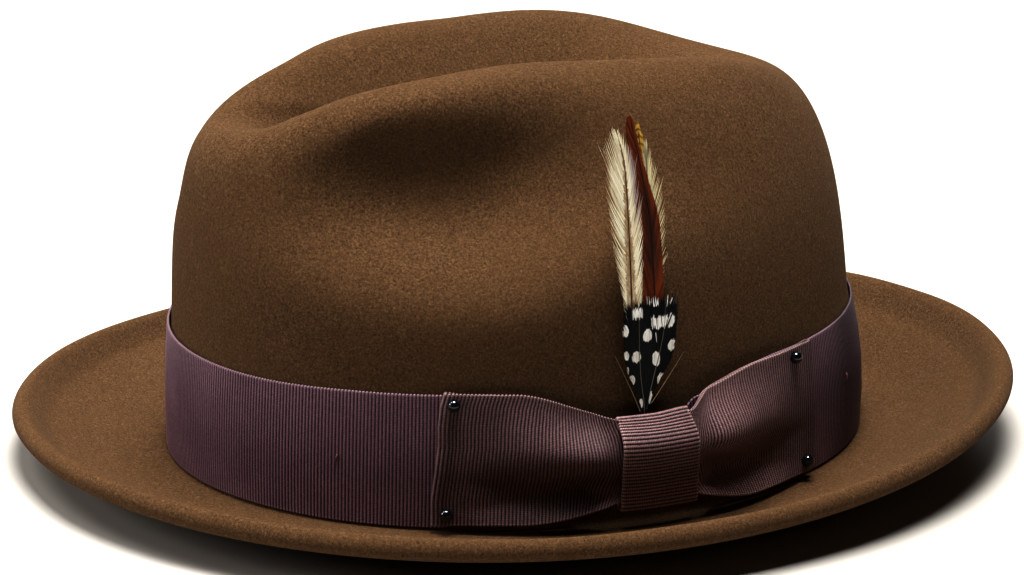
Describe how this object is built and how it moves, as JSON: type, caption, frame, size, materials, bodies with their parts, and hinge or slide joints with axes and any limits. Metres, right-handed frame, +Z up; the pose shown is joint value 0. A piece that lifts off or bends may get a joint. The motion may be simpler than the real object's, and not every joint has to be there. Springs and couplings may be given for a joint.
{
  "type": "fedora hat",
  "caption": "Pinch-front felt fedora with a dished, welted brim, wide grosgrain band, tailored side bow with ball-headed pins, and a lift-out feather mount.",
  "frame": {"origin": "centre of the hat in plan, in the plane of the flat part of the brim's underside, which is the hat's lowest plane", "axes": "+Z up through the crown; -Y towards the hat's front; +X towards the wearer's left, where the bow is"},
  "size_m": [0.2636, 0.2966, 0.1206],
  "materials": {
    "felt": "brushed wool felt, fine nap",
    "band_ribbon": "grosgrain, vertical ribs",
    "bow_ribbon": "grosgrain, ribbed",
    "pin_head": "glossy black ball",
    "pin_steel": "bright steel wire",
    "thread_plum": "cotton thread",
    "sweat_leather": "smooth, slightly worn",
    "reed": "thin leather over a cord",
    "thread_tan": "waxed thread",
    "small_ribbon": "satin ribbon",
    "lining": "satin, soft sheen",
    "hackle_cream": "feather barbs",
    "hackle_grizzly": "barred feather barbs",
    "feather_rust": "feather barbs",
    "feather_gold": "feather barbs",
    "guinea": "black feather with white spots",
    "binding": "wound thread"
  },
  "bodies": {
    "hat": {"felt_body": "felt", "hat_band": "band_ribbon", "bow_front_wing": "bow_ribbon", "bow_rear_wing": "bow_ribbon", "bow_knot": "bow_ribbon", "pin_heads": "pin_head", "pin_shanks": "pin_steel", "band_tacks": "thread_plum", "sweatband": "sweat_leather", "sweatband_reed": "reed", "sweatband_stitches": "thread_tan", "sweatband_bow": "small_ribbon", "lining_side": "lining", "lining_tip": "lining"},
    "feather_mount": {"feather_cream": "hackle_cream", "feather_grizzly": "hackle_grizzly", "feather_rust": "feather_rust", "feather_gold": "feather_gold", "feather_guinea_front": "guinea", "feather_guinea_rear": "guinea", "feather_binding": "binding"}
  },
  "joints": [
    {"name": "feather_lift", "type": "slide", "parent": "hat", "child": "feather_mount", "axis": [0, 0, 1], "range_m": [0, 0.03]}
  ]
}
